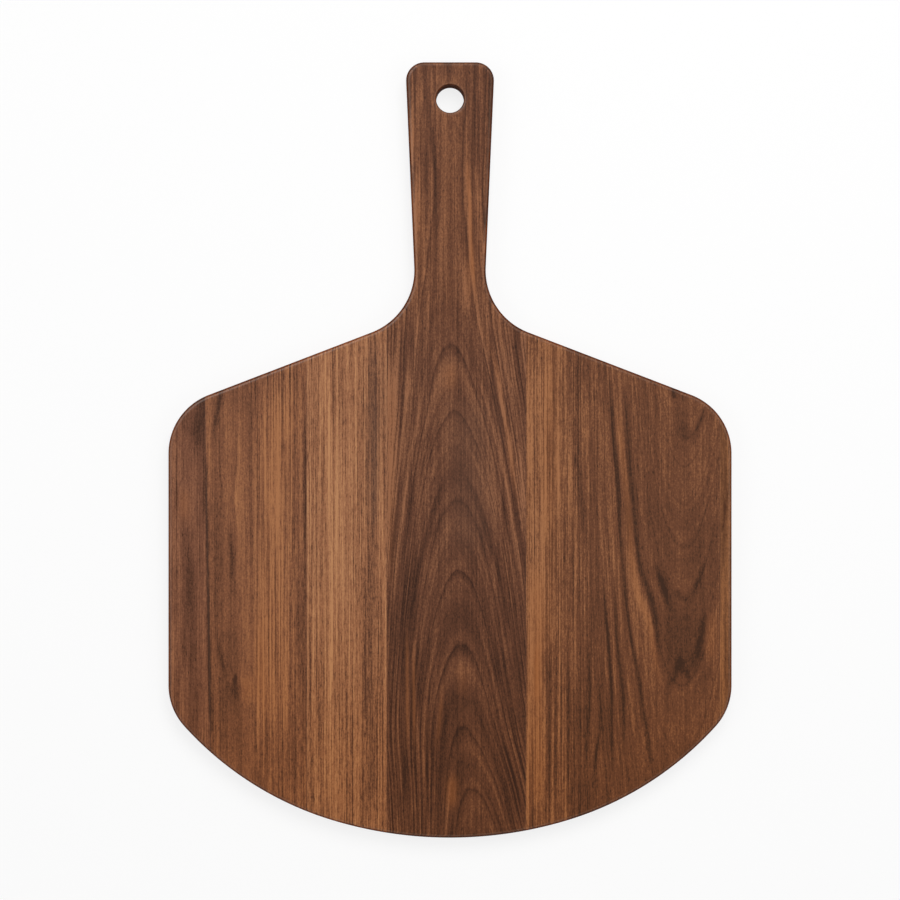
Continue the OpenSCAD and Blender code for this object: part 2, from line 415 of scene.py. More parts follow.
leftOuterStave = {
    "node": "left_outer_stave",
    "between": ("leftEdge", "left"),
    "slot": "wood_left_outer",
    "colours": [(0.066, 0.027, 0.015), (0.234, 0.091, 0.045), (0.45, 0.19, 0.08)],
    "heart": [(-280, -152), (-165, -154), (-34, -158), (60, -158)],
    "depth": [(-280, 60), (280, 90)],
    "reach": (18, 34),
    "flat": 20,
    "crests": [-235, -165, -100, -34, 20],
    "spacing": 3.6,
    "ringTone": 0.08,
    "follow": 0.0,
    "streakTone": 0.75,
    "fineTone": 1.7,
    "marks": [
        (0.28, 0.2, 8, (-122, 60), (-126, 0), (-129, -80), (-127, -215)),
        (0.14, 0.2, 3, (-138, -100), (-137, -150), (-136, -205)),
        (-0.1, -0.1, 4, (-107, 84), (-108, 0), (-108, -270)),
        (-0.1, 0, 4, (-113, -50), (-113, -270)),
        (0.08, 0, 2, (-104, 40), (-104, -160)),
        (0.12, 0, 2.5, (-139.5, -110), (-139.5, -240)),
        (-0.1, 0, 2.5, (-146, -60), (-146, -240)),
        (-0.1, 0, 5, (-162, -100), (-161, -250)),
        (-0.1, 0, 7, (-165, -30), (-162, -90), (-160, -240)),
        (-0.26, 0, 1, (-143, 52), (-143, -50), (-142.5, -110), (-142, -150), (-141, -192), (-138.5, -242)),
        (-0.38, 0, 1.4, (-160, 60), (-166, 36), (-172, -4)),
        (-0.34, 0, 1.2, (-160, -48), (-157, -77), (-158, -104)),
        (0.14, 0, 4, (-154, 44), (-154, -110)),
        (-0.22, 0.1, 1.1, (-168, -128), (-164, -152), (-160, -166), (-156, -172)),
        (-0.2, 0, 0.9, (-133, -150), (-132, -200), (-130, -252)),
        (-0.2, 0, 0.8, (-121, -80), (-120, -150), (-120, -232)),
        (-0.22, 0, 3.5, (-154, -165), (-155, -184)),
        (0.18, 0.3, 3.5, (-147, -156), (-146, -188)),
        (-0.6, -0.2, 0.6, (-174, 12), (-175.2, -20), (-174.6, -72), (-173.4, -146), (-172.3, -220)),
        (-0.3, 0, 0.8, (-104, 40), (-104, -60), (-103.8, -240)),
        (0.15, 0.1, 4, (-113, 70), (-113, -60)),
        (-0.1, 0, 4, (-165, 30), (-164, -130)),
        (0.13, 0, 3.5, (-138, -135), (-137, -245)),
        (-0.08, 0, 6, (-109, -190), (-109, -290)),
    ],
    "knots": [(-154.6, -165, 4.0, 3.0, 0.7), (-158.5, -34, 7.0, 4.0, 0.0)],
}

leftInnerStave = {
    "node": "left_inner_stave",
    "between": ("left", "handleLeft"),
    "slot": "wood_left_inner",
    "colours": [(0.105, 0.042, 0.024), (0.345, 0.144, 0.069), (0.54, 0.257, 0.118)],
    "heart": [(-280, -10), (280, -10)],
    "depth": [(-280, 26), (280, 30)],
    "reach": (200, 300),
    "flat": 6,
    "crests": [-200, 0],
    "spacing": 2.6,
    "ringTone": 0.20,
    "follow": 0.0,
    "streakTone": 0.30,
    "fineTone": 1.9,
    "marks": [
        (0.22, 0.1, 4.5, (-83, 110), (-83, 0), (-83, -190)),
        (0.2, 0.1, 3.2, (-92, 80), (-91, -60), (-92, -170)),
        (-0.12, 0, 2, (-99, -30), (-99, -150)),
        (0.2, 0, 3.4, (-66, 100), (-65, 0), (-65, -110)),
        (-0.24, -0.1, 3.2, (-58, 108), (-57, 20), (-56, -60), (-58, -180), (-57, -280)),
        (-0.1, 0, 7, (-66, -150), (-66, -280)),
        (-0.12, -0.1, 2, (-54, 60), (-53, -20), (-55, -90)),
        (0.1, 0.15, 2.2, (-48, 30), (-49, -130)),
        (-0.16, 0, 3, (-47, -110), (-47, -300)),
        (0.1, 0, 3, (-76, -180), (-76, -300)),
        (-0.24, 0, 3.4, (-51.5, 170), (-51, 0)),
        (0.02, -0.22, 9, (-52, 110), (-52, -70)),
        (0.12, 0.1, 3, (-61.5, 150), (-61.5, 20)),
        (-0.2, 0, 5, (-60, -215), (-60, -330)),
        (0.12, 0, 3, (-52, -115), (-52, -215)),
        (-0.1, 0, 6, (-98, -190), (-98, -300)),
        (-0.14, 0, 2, (-91, 20), (-90, -40), (-91, -120)),
        (-0.25, 0, 0.8, (-102.6, 60), (-102.6, -40)),
    ],
    "knots": [(-102.6, -5.5, 2.0, 0.8, 0.7)],
}

handleStave = {
    "node": "handle_stave",
    "between": ("handleLeft", "handleRight"),
    "slot": "wood_handle",
    "colours": [(0.042, 0.018, 0.011), (0.14, 0.055, 0.03), (0.345, 0.148, 0.072)],
    "heart": [
        (-280, 20), (-245, 16), (-202, 10), (-138, 7), (-86, 6), (-38, 5), (27, 3), (76, 0), (280, 0),
    ],
    "depth": [(-280, 58), (-80, 71), (76, 81), (170, 83.4), (280, 83.4)],
    "reach": (60, 90),
    "flat": 20,
    "crests": [-245, -202, -138, -86, -38, 27, 76],
    "spacing": 3.2,
    "ringTone": 0.38,
    "follow": 1.0,
    "streakTone": 0.50,
    "fineTone": 1.7,
    "marks": [
        (-0.34, 0, 1.3, (-17, 281), (-15, 242), (-11, 205), (-10, 160), (-12, 114), (-14, 84)),
        (-0.3, -0.1, 3, (0, 288), (0, 264)),
        (-0.12, 0, 1.4, (22, 268), (19, 238), (18, 222), (20, 208), (19, 180)),
        (-0.08, 0, 2, (27, 236), (25, 180), (24, 130)),
        (-0.18, 0, 1, (-20, 152), (-20, 92)),
        (0.2, 0.3, 1, (14, 232), (12.7, 205), (14.3, 175), (15, 151), (17.5, 120), (22, 90)),
        (0.1, 0.1, 2.8, (15, 230), (15, 170), (18, 130), (22, 96)),
        (-0.16, 0, 3.4, (24, 150), (25, 124), (29, 100)),
        (0.18, 0.1, 2.2, (-23, 215), (-22, 133)),
        (0.1, 0.1, 2.6, (-27, 262), (-26, 200)),
        (0.24, 0.3, 1.7, (22, 108), (27, 79), (34.5, 53), (38, 31), (43, -1), (46, -27), (49.5, -56)),
        (-0.38, -0.1, 1.3, (28, 104), (32, 46), (37, 18), (42.5, -14), (47.5, -53), (52.5, -88)),
        (0.06, 0, 2.4, (52, 100), (52, 30)),
        (0.16, 0, 4, (52, 0), (52, -96)),
        (-0.2, 0, 7, (47, -118), (45, -200), (42, -290)),
        (0.24, 0.2, 3.6, (-42.5, 84), (-42.5, 0), (-43, -120)),
        (-0.26, 0, 1.6, (-32, 102), (-33, 60), (-32, 40)),
        (-0.16, 0, 4, (-41, -90), (-42, -160), (-41, -290)),
        (-0.2, 0, 0.9, (-34, -100), (-33, -190), (-32, -276)),
        (-0.2, 0, 0.9, (-29, -110), (-28, -190), (-29, -276)),
        (-0.2, 0, 0.9, (-24, -120), (-22, -190), (-22, -276)),
        (0.16, 0.4, 0.9, (-31, -110), (-30.5, -230)),
        (0.16, 0.4, 0.9, (-26.5, -120), (-25.5, -230)),
        (0.1, 0.3, 1.2, (-5, -160), (-7, -190), (-11, -225)),
        (0.1, 0.4, 3.6, (2, -226), (1, -266)),
        (0.2, 0.2, 4, (9, -146), (10, -184)),
        (0.14, 0.3, 5, (0, 70), (0, 34)),
        (0.15, 0, 30, (0, 330), (0, 100)),
        (0.16, 0, 13, (-18, 146), (-28, 60), (-34, -70)),
        (0.16, 0, 13, (18, 146), (30, 60), (36, -70)),
        (0.12, 0, 4, (-16, 130), (-17, 50)),
        (0.12, 0, 3, (45, 30), (46, -50)),
        (-0.12, 0, 9, (4, -80), (0, -270)),
        (0.09, 0, 7, (1, 90), (2, -30)),
        (-0.16, 0, 4, (-27, -60), (-26, -250)),
        (-0.12, 0, 3, (-13, -170), (-13, -300)),
        (-0.28, 0, 2.2, (-16.5, 245), (-16.5, 105)),
        (-0.2, 0, 2.5, (29, 300), (27, 205)),
        (-0.08, 0, 6, (6, 270), (6, 110)),
        (0.12, 0.1, 4, (43, 40), (42.5, -130)),
        (0.02, -0.28, 16, (16, 60), (14, -100)),
        (-0.12, 0, 4, (34, -95), (34, -185)),
        (-0.12, 0, 6, (47, -220), (47, -330)),
        (0.08, 0.1, 3, (-1, 142), (-1, 82)),
        (0.2, 0.1, 2.2, (-12.3, 180), (-12.5, 98)),
        (0.22, 0.1, 2.4, (-20.5, 185), (-20, 100)),
        (0.14, 0.1, 2.6, (-25.5, 165), (-25, 98)),
        (0.14, 0, 2.2, (1, 240), (1, 145)),
        (0.24, 0.2, 2.2, (13.5, 152), (14, 94)),
        (-0.26, 0, 2.4, (27.5, 235), (26.5, 150)),
    ],
}

rightWideStave = {
    "node": "right_wide_stave",
    "between": ("handleRight", "rightEdge"),
    "slot": "wood_right_wide",
    "colours": [(0.052, 0.023, 0.013), (0.175, 0.067, 0.033), (0.42, 0.179, 0.077)],
    "heart": [(-280, 166), (-80, 168), (110, 171)],
    "depth": [(-280, 84), (110, 58)],
    "reach": (52, 76),
    "flat": 40,
    "crests": [-220, -169, -154, -109, -71, -40, -12, 8, 36],
    "spacing": 3.4,
    "ringTone": 0.16,
    "follow": 0.8,
    "streakTone": 0.45,
    "fineTone": 1.5,
    "marks": [
        (0.18, 0.1, 1.5, (56.5, 104), (56.5, 0), (56.5, -275)),
        (0.4, 0.2, 5, (73, 120), (73, 20), (72, -60), (72, -170)),
        (0.18, 0.1, 5, (88, 20), (87, -40), (85, -180)),
        (0.22, 0.35, 4, (61, -60), (62.5, -140), (62.5, -180), (63, -280)),
        (0.12, 0.3, 1.6, (62.5, -130), (62.5, -190)),
        (-0.36, 0, 1, (71, 30), (71.5, -100), (71.5, -272)),
        (-0.34, 0, 0.9, (75.5, 60), (75.7, -80), (76, -270)),
        (-0.34, -0.1, 2.2, (91, 30), (93, -20), (96, -50), (99, -90)),
        (-0.16, 0, 4.5, (94, -100), (94, -300)),
        (-0.08, 0, 7, (106, -70), (106, -280)),
        (-0.28, 0, 1.2, (84, -100), (85, -180), (84, -262)),
        (-0.52, 0, 1.1,
         (115, 64), (117.5, 10), (121, -26), (122, -55), (125, -92),
         (130, -133), (136, -164), (140, -191), (143, -210), (145, -236)),
        (0.24, 0.3, 2.4,
         (122, 50), (123, 10), (127, -26), (129, -50), (132, -85),
         (136, -106), (142, -120), (146, -138), (150, -164), (154, -188)),
        (-0.44, -0.1, 1.8,
         (125, 56), (128, -2), (131.5, -37), (134.5, -68), (138.5, -90), (142.5, -101),
         (146, -113), (148.3, -126), (150, -144), (154, -161), (158.5, -170), (160.5, -178)),
        (-0.42, 0, 0.9, (116, -75), (118.5, -106), (121.5, -150), (124, -169), (125.5, -199), (127, -224)),
        (-0.42, 0, 0.9, (111, -85), (113, -127), (115.5, -162), (116.5, -204), (117.5, -249)),
        (-0.4, 0, 0.9, (109, -162), (107.5, -203), (104, -228), (103, -241), (104, -256)),
        (-0.38, 0, 0.9, (100, -130), (100, -191), (96.5, -238)),
        (-0.45, 0, 1.6, (161, 48), (161, 34)),
        (-0.34, 0, 1.2, (186, 36), (179, 18), (173, 2)),
        (-0.24, 0, 3, (167, 22), (172, 4)),
        (-0.52, -0.1, 2, (147.5, -78), (152, -94), (157, -109), (159.5, -118)),
        (-0.34, 0, 1.4, (162, -99), (166, -105), (171.5, -110), (172.5, -113)),
        (-0.28, 0, 1.2, (186, -74), (182.5, -84), (178, -95), (176, -103), (172.5, -112)),
        (-0.3, 0, 1.8, (165.5, -142), (165, -151), (162.5, -161), (159, -170), (159, -176)),
        (-0.32, 0, 1.8, (164.5, -146), (167, -154), (171.5, -164), (172.5, -170)),
        (-0.32, 0, 2.2, (186, -108), (184, -120), (181, -132), (178, -147), (175, -158), (172.5, -168)),
        (-0.14, -0.1, 9, (163, -94), (166, -130), (168, -174)),
        (0.2, 0.3, 3.6, (189, -106), (187, -164)),
        (-0.08, 0, 14, (170, -200), (160, -240)),
        (-0.1, 0, 6, (143, -24), (145, -110)),
        (-0.1, 0, 16, (172, -10), (172, -190)),
        (-0.1, 0, 5, (190, -40), (192, -110)),
        (0.16, 0.1, 9, (66, 80), (66, -85)),
        (-0.14, 0, 6, (67, -105), (67, -175)),
        (0.15, 0.1, 6, (121, -35), (124, -155)),
        (-0.12, 0, 9, (91, 120), (92, 20)),
        (-0.14, 0, 8, (92, -210), (92, -310)),
    ],
    "knots": [(103, -241, 2.0, 0.8, 0.5)],
}

rightEdgeStrip = {
    "node": "right_edge_strip",
    "between": ("rightEdge", None),
    "slot": "wood_right_edge",
    "colours": [(0.084, 0.032, 0.015), (0.208, 0.083, 0.036), (0.385, 0.156, 0.06)],
    "heart": [(-280, 236), (280, 230)],
    "depth": [(-280, 40), (280, 44)],
    "reach": (60, 90),
    "flat": 6,
    "crests": [-120, 0],
    "spacing": 3.0,
    "ringTone": 0.20,
    "follow": 0.0,
    "streakTone": 0.8,
    "fineTone": 1.4,
    "marks": [
        (-0.3, 0, 1, (202.6, -14), (199, -38), (196, -62)),
        (0.06, 0, 2.5, (199, -60), (199, -190)),
    ],
}

staves = [leftEdgeStave, leftOuterStave, leftInnerStave, handleStave, rightWideStave, rightEdgeStrip]

# How far the colour is turned amber along the board, most at the foot, as (along, share) points
amberPath = [
    (-280, 1.0), (-215, 0.85), (-150, 0.40), (-90, 0.10), (-30, 0.0),
    (60, 0.0), (110, 0.25), (150, 0.35), (280, 0.35),
]


# Value at a distance along the board, from given (along, value) points: between two points it is the
# cubic that has their values and their slopes, and past the last ones it stays level
def smoothPath(points, y):
    stops, values = np.array(points, float).T
    order = np.argsort(stops)
    stops, values = stops[order], values[order]
    if len(values) > 2:
        slope = np.gradient(values, stops)
    else:
        slope = np.full(2, np.diff(values)[0] / np.diff(stops)[0])
    y = np.clip(y, stops[0], stops[-1])
    i = np.clip(np.searchsorted(stops, y, side="right") - 1, 0, len(stops) - 2)
    span = stops[i + 1] - stops[i]
    t = (y - stops[i]) / span
    bend = (2 * t**3 - 3 * t**2 + 1) * values[i] + (3 * t**2 - 2 * t**3) * values[i + 1]
    return bend + span * ((t**3 - 2 * t**2 + t) * slope[i] + (t**3 - t**2) * slope[i + 1])


# How knots and marks are drawn. The sizes of a knot are in its radii.
drawing = {
    "knotLength": 2.5,  # how far along the board the lines bend round a knot
    "knotTurn": 0.5,  # how near its middle they part
    "knotCore": (0.3, 0.7),  # half the width and length of its dark core
    "markEnd": 45.0,  # over this length a mark fades in and out
    "shortMarkEnd": 2.5,  # or over its own length divided by this, if that is less
    "ringsBeyond": 60,  # evenly spaced rings before the first crest and after the last
}


# Figure of the wood at points of a piece. Its rings are counted by distance from the heart of the tree,
# which runs along the board at a depth, so a point's distance is the hypotenuse of its distance to the
# side of the heart line and its height over it. A mark is a bell curve across its path. Gives the rings,
# the tone and warmth of the marks, the share that the rings show, how near the heart line the wood lies,
# and the place across the grain, which knots bend.
def woodFigure(points, figure):
    x, y, z = points.T
    across = x.copy()
    for knotX, knotY, radius, push, dark in figure.get("knots", []):
        length = drawing["knotLength"] * radius
        away = np.exp(-(((x - knotX) / radius) ** 2 + ((y - knotY) / length) ** 2))
        across += push * away * np.tanh((x - knotX) / (drawing["knotTurn"] * radius))
    side = across - smoothPath(figure["heart"], y)
    heart = np.hypot(side, smoothPath(figure["depth"], y) - (thickness - z))
    crests = np.sort(smoothPath(figure["depth"], np.array(figure["crests"], float)))
    more = figure["spacing"] * np.arange(1, drawing["ringsBeyond"])
    table = np.concatenate([crests[0] - more[::-1], crests, crests[-1] + more])
    rings = np.interp(heart, table, np.arange(len(table)))
    full, gone = figure["reach"]
    share = 1 - np.clip((np.abs(side) - full) / (gone - full), 0, 1)
    flat = np.exp(-((side / figure["flat"]) ** 2))

    tone = np.zeros(len(points))
    warmth = np.zeros(len(points))
    for strength, warm, width, *path in figure["marks"]:
        route = [(py, px) for px, py in path]
        ends = sorted(py for px, py in path)
        fade = min(drawing["markEnd"], (ends[-1] - ends[0]) / drawing["shortMarkEnd"])
        into = np.clip(np.minimum(y - ends[0], ends[-1] - y) / fade, 0, 1)
        here = into * into * (3 - 2 * into) * np.exp(-0.5 * ((x - smoothPath(route, y)) / width) ** 2)
        tone += strength * here
        warmth += warm * here
    coreWidth, coreLength = drawing["knotCore"]
    for knotX, knotY, radius, push, dark in figure.get("knots", []):
        core = ((x - knotX) / (coreWidth * radius)) ** 2 + ((y - knotY) / (coreLength * radius)) ** 2
        tone -= dark * np.exp(-core)
    return rings, tone, warmth, share, flat, across


# Writes one value or one vector for each vertex
def setAttribute(mesh, name, values):
    kind, field = ("FLOAT", "value") if values.ndim == 1 else ("FLOAT_VECTOR", "vector")
    mesh.attributes.new(name, kind, "POINT").data.foreach_set(field, values.astype(np.float32).ravel())


# How far each point of the eased edge has turned away from the face, from 0 on the face to 1 on the wall
def edgeTurn(points):
    radius = outline["easedEdge"]
    drop = np.minimum(points[:, 2], thickness - points[:, 2])
    return np.sqrt(np.clip(1 - (1 - np.clip(drop / radius, 0, 1)) ** 2, 0, 1))


# Wraps a node's output, so that sums on it read as sums: each operator adds a Math node. A wire with no
# socket stands for the tree.
class Wire:
    def __init__(self, tree, socket=None):
        self.tree = tree
        self.socket = socket

    # Gives a node's sockets their values or links
    def fill(self, made, sockets):
        for name, value in sockets.items():
            if isinstance(value, Wire):
                self.tree.links.new(value.socket, made.inputs[name])
            else:
                made.inputs[name].default_value = value

    # Adds a node: its settings are set first, and then its sockets are filled. Gives one output.
    def node(self, kind, settings, sockets, output=0):
        made = self.tree.nodes.new(kind)
        for name, value in settings.items():
            if name == "stops":
                ramp = made.color_ramp
                while len(ramp.elements) < len(value):
                    ramp.elements.new(0.5)
                for element, (place, colour) in zip(ramp.elements, value):
                    element.position = place
                    element.color = (*colour, 1.0)
            else:
                setattr(made, name, value)
        self.fill(made, sockets)
        return Wire(self.tree, made.outputs[output])

    # One Math node, on one value or two
    def calculate(self, operation, *values):
        return self.node("ShaderNodeMath", {"operation": operation}, dict(enumerate(values)))

    def __add__(self, other):
        return self.calculate("ADD", self, other)

    def __sub__(self, other):
        return self.calculate("SUBTRACT", self, other)

    def __rsub__(self, other):
        return self.calculate("SUBTRACT", other, self)

    def __mul__(self, other):
        return self.calculate("MULTIPLY", self, other)

    def __pow__(self, other):
        return self.calculate("POWER", self, other)

    __radd__ = __add__
    __rmul__ = __mul__

    # A value or vector that makePiece writes on the mesh
    def attribute(self, name, output="Vector"):
        return self.node("ShaderNodeAttribute", {"attribute_name": name}, {}, output)

    # The three parts of a vector
    def parts(self):
        made = self.node("ShaderNodeSeparateXYZ", {}, {0: self}).socket.node
        return [Wire(self.tree, part) for part in made.outputs]

    # 0 below low and 1 above high, with a smooth step between
    def step(self, low, high):
        sockets = {"Value": self, "From Min": low, "From Max": high}
        return self.node("ShaderNodeMapRange", {"interpolation_type": "SMOOTHSTEP"}, sockets)

    # Mixes two colours by this value
    def mix(self, first, second, blend="MIX"):
        settings = {"data_type": "RGBA", "blend_type": blend}
        return self.node("ShaderNodeMix", settings, {0: self, 6: first, 7: second}, 2)


# New material: its tree as a wire to build on, and its surface shader
def newMaterial(name):
    material = bpy.data.materials.new(name)
    material.use_nodes = True
    shader = material.node_tree.nodes["Principled BSDF"]
    return material, Wire(material.node_tree), shader


# Grain of oiled walnut: the width across and the length along the wood of each kind of streak, in
# millimetres, how finely its noise is divided, and where in the noise it starts
grain = {
    "broad": (7.0, 170.0, 2.0, 3.1),
    "middle": (2.6, 80.0, 2.0, 11.7),
    "fine": (1.0, 120.0, 2.0, 23.9),
    "fibre": (0.75, 9.0, 2.0, 33.3),
    "cloud": (26.0, 60.0, 3.0, 41.3),
    "speckle": (0.9, 1.4, 1.0, 71.9),
    "pores": (0.55, 4.5, 1.0, 57.1),
    "poresFrom": (0.58, 0.74),
    "deep": 0.4,  # streaks change this much as fast through the thickness as across
    "apart": 7.3,  # how far apart the staves lie in the noise of the streaks
    "ringApart": 3.7,  # and in the noise that follows the rings
    "ringLines": 3.0,  # noise lines to a ring
    "ringLength": 125.0,  # length of one of them, in millimetres
    "ringDetail": (3.0, 0.72),  # how finely that noise is divided, and how strong its finer parts are
}

# How strongly each part of the grain changes the tone, where 0 is dark, 0.5 middle and 1 light
tones = {
    "plain": 0.52,
    "fibre": 0.55,
    "ringGrain": 1.9,
    "ringGrainStraight": 0.8,  # where the fine lines run straight
    "speckle": 0.65,
    "cloud": 0.3,
    "pores": 0.30,
    "markGrain": 1.5,  # how far the fine lines break up a mark
    "lessFine": 0.85,  # what following the rings takes off the straight fine lines
    "lessBroad": 0.5,  # and off the broad streaks
    "lessFlat": 0.65,  # what the smooth wood at the heart line takes off the fine lines
}

# A ring ends in a dark line that goes on a little into the next ring, where a pale line and then a soft
# dark band follow. The powers say how narrow a line is.
ringShape = {
    "push": {"broad": 0.08, "cloud": 0.24, "fine": 0.02},  # how far streaks push a ring aside
    "endLine": {"power": 13.0, "dark": 1.3},
    "nextLine": {"power": 30.0, "dark": 1.3},
    "paleLine": {"power": 9.0, "pale": 0.35},
    "band": {"from": (0.06, 0.30), "to": (0.38, 0.80), "dark": 0.5},
    "plain": 0.12,  # taken off the whole ring, so that its mean tone stays
    # each ring has at least this strength, and up to so much more
    "each": {"apart": 0.73, "from": (0.3, 0.7), "more": 0.6, "least": 0.5},
}

# Colours that lie over the stave's own, painted highlight and shade round the eased edge among them, and
# how the surface shines. The pairs say where each starts and is full round the eased edge, from 0 on the
# face to 1 on the wall.
finishAndPaintedLight = {
    "redder": (0.36, 0.130, 0.045, 1.0),
    "cooler": (0.115, 0.066, 0.046, 1.0),
    "amber": (1.05, 0.94, 0.76, 1.0),
    # a painted highlight: a pale line where the eased edge begins
    "paintedHighlight": {"colour": (0.62, 0.42, 0.31, 1.0), "share": 0.08, "from": (0.05, 0.30), "to": (0.45, 0.75)},
    # rim and wall: oil darkens and reddens them, and part of their darkening is painted shade, on the rim
    # and inside the hole
    "rim": {"colour": (0.60, 0.31, 0.09, 1.0), "from": (0.46, 0.74)},
    "wall": {"colour": (0.48, 0.31, 0.17, 1.0), "from": (0.92, 1.0)},
    "sheenLevel": 0.06,
    "roughness": {"plain": 0.42, "fine": 0.16, "pores": 0.10, "wall": 0.45, "wallFrom": (0.84, 1.0)},
    "relief": {"fine": 0.5, "fibre": 0.5, "pores": 0.6, "strength": 0.35, "depth": 0.00012},  # metres
}


# Oiled walnut. The tone is the plain one, plus streaks of several widths that are noise stretched along
# the grain, plus noise that follows the rings, less the dark line that ends each ring, plus the marks.
# Away from the heart line the straight lines give way to ones that follow the rings, and close to it the
# wood is smooth. The tone picks the colour between the stave's dark, middle and light ones, and the
# colour is then warmed, cooled and turned amber. Round the edge a painted highlight lightens it, and oil
# and painted shade darken it.
def woodMaterial(name, figure, seed):
    material, wire, shader = newMaterial(name)
    place = wire.attribute("grain")
    count, marks, warmth = wire.attribute("figure").parts()
    share, flat, amber = wire.attribute("sawn").parts()
    turned = wire.attribute("edgeTurn", "Fac")
    upBoard = place.parts()[1]

    # Noise at these places; the more detail it has, the more finely it is divided
    def noise(vector, detail, roughness=0.5):
        sockets = {"Vector": vector, "Scale": 1.0, "Detail": detail, "Roughness": roughness}
        return wire.node("ShaderNodeTexNoise", {}, sockets)

    # Noise stretched along the grain
    def streaks(kind):
        across, length, detail, shift = grain[kind]
        scaled = wire.node("ShaderNodeVectorMath", {"operation": "MULTIPLY_ADD"}, {
            0: place,
            1: (1 / across, 1 / length, grain["deep"] / across),
            2: (seed * grain["apart"] + shift, shift, 0.0),
        })
        return noise(scaled, detail)

    kinds = ("broad", "middle", "fine", "fibre", "cloud", "speckle")
    broad, middle, fine, fibre, cloud, speckle = (streaks(kind) for kind in kinds)
    pores = streaks("pores").step(*grain["poresFrom"])
    lines = wire.node("ShaderNodeCombineXYZ", {}, {
        0: count * grain["ringLines"],
        1: upBoard * (1 / grain["ringLength"]),
        2: seed * grain["ringApart"],
    })
    ringGrain = noise(lines, *grain["ringDetail"])

    push = ringShape["push"]
    pushed = (
        count
        + (broad - 0.5) * push["broad"]
        + (cloud - 0.5) * push["cloud"]
        + (fine - 0.5) * push["fine"]
    )
    within = wire.calculate("FRACT", pushed)
    left = 1.0 - within
    end, beyond, pale, soft = (ringShape[name] for name in ("endLine", "nextLine", "paleLine", "band"))
    ringLine = (
        (within ** end["power"]) * end["dark"]
        + (left ** beyond["power"]) * beyond["dark"]
        + within.step(*soft["from"]) * (1.0 - within.step(*soft["to"])) * soft["dark"]
        - (left ** pale["power"]) * pale["pale"]
    )
    # each ring has a strength of its own, from a noise that its number picks
    each = ringShape["each"]
    picked = wire.calculate("FLOOR", pushed) * each["apart"] + seed
    ofRing = {"W": picked, "Scale": 1.0, "Detail": 0.0}
    strong = wire.node("ShaderNodeTexNoise", {"noise_dimensions": "1D"}, ofRing)
    strength = strong.step(*each["from"]) * each["more"] + each["least"]
    ringDark = (ringLine - ringShape["plain"]) * strength

    follow = (1.0 - flat) * share * figure["follow"]
    straight = (1.0 - follow * tones["lessFine"]) * (1.0 - flat * tones["lessFlat"])
    weak = share * (tones["ringGrainStraight"] * figure["ringTone"])
    tone = (
        tones["plain"]
        + (broad - 0.5) * (1.0 - follow * tones["lessBroad"]) * figure["streakTone"]
        + (middle - 0.5) * straight * figure["streakTone"]
        + (fine - 0.5) * straight * figure["fineTone"]
        + (fibre - 0.5) * straight * (figure["fineTone"] * tones["fibre"])
        + (ringGrain - 0.5) * (follow * tones["ringGrain"] + weak)
        + (speckle - 0.5) * tones["speckle"]
        + (cloud - 0.5) * tones["cloud"]
        - ringDark * share * figure["ringTone"]
        + marks * ((fine + middle) * tones["markGrain"] - 0.5)
        - pores * tones["pores"]
    )
    stops = list(zip((0.0, 0.5, 1.0), figure["colours"]))
    colour = tone.node("ShaderNodeValToRGB", {"stops": stops}, {"Fac": tone})
    redder = warmth.step(0.0, 1.0).mix(colour, finishAndPaintedLight["redder"])
    cooler = (warmth * -1.0).step(0.0, 1.0).mix(redder, finishAndPaintedLight["cooler"])
    ambered = amber.mix(cooler, finishAndPaintedLight["amber"], "MULTIPLY")
    # painted highlight: a pale line where the eased edge begins. Oil makes the rim and the wall beyond it
    # darker and redder, and part of that darkening is painted shade, on the rim and inside the hole
    paintedHighlight, rim, wall = (finishAndPaintedLight[name] for name in ("paintedHighlight", "rim", "wall"))
    paintedHighlightShare = turned.step(*paintedHighlight["from"]) * (1.0 - turned.step(*paintedHighlight["to"])) * paintedHighlight["share"]
    wallOilAndShadeShare = turned.step(*wall["from"])
    rimOilAndShadeShare = turned.step(*rim["from"]) * (1.0 - wallOilAndShadeShare)
    paleLine = paintedHighlightShare.mix(ambered, paintedHighlight["colour"])
    oilAndShadeRim = rimOilAndShadeShare.mix(paleLine, rim["colour"], "MULTIPLY")
    oiledWithPaintedLight = wallOilAndShadeShare.mix(oilAndShadeRim, wall["colour"], "MULTIPLY")
    relief, dull = finishAndPaintedLight["relief"], finishAndPaintedLight["roughness"]
    height = (fine - 0.5) * relief["fine"] + (fibre - 0.5) * relief["fibre"] - pores * relief["pores"]
    bump = {"Strength": relief["strength"], "Distance": relief["depth"], "Height": height}
    bumped = wire.node("ShaderNodeBump", {}, bump)
    wallDull = turned.step(*dull["wallFrom"]) * dull["wall"]
    rough = (fine - 0.5) * dull["fine"] + pores * dull["pores"] + wallDull + dull["plain"]
    sheen = finishAndPaintedLight["sheenLevel"]
    looks = {"Base Color": oiledWithPaintedLight, "Roughness": rough, "Normal": bumped, "Specular IOR Level": sheen}
    wire.fill(shader, looks)
    return material


driedGlue = {
    "dark": (0.050, 0.022, 0.013, 1.0),
    "light": (0.105, 0.046, 0.026, 1.0),
    "lightFrom": (0.3, 0.7),
    "stretch": (1.0, 0.05, 1.0),
    "detail": 3.0,
    "roughness": 0.6,
    "sheenLevel": 0.3,
}


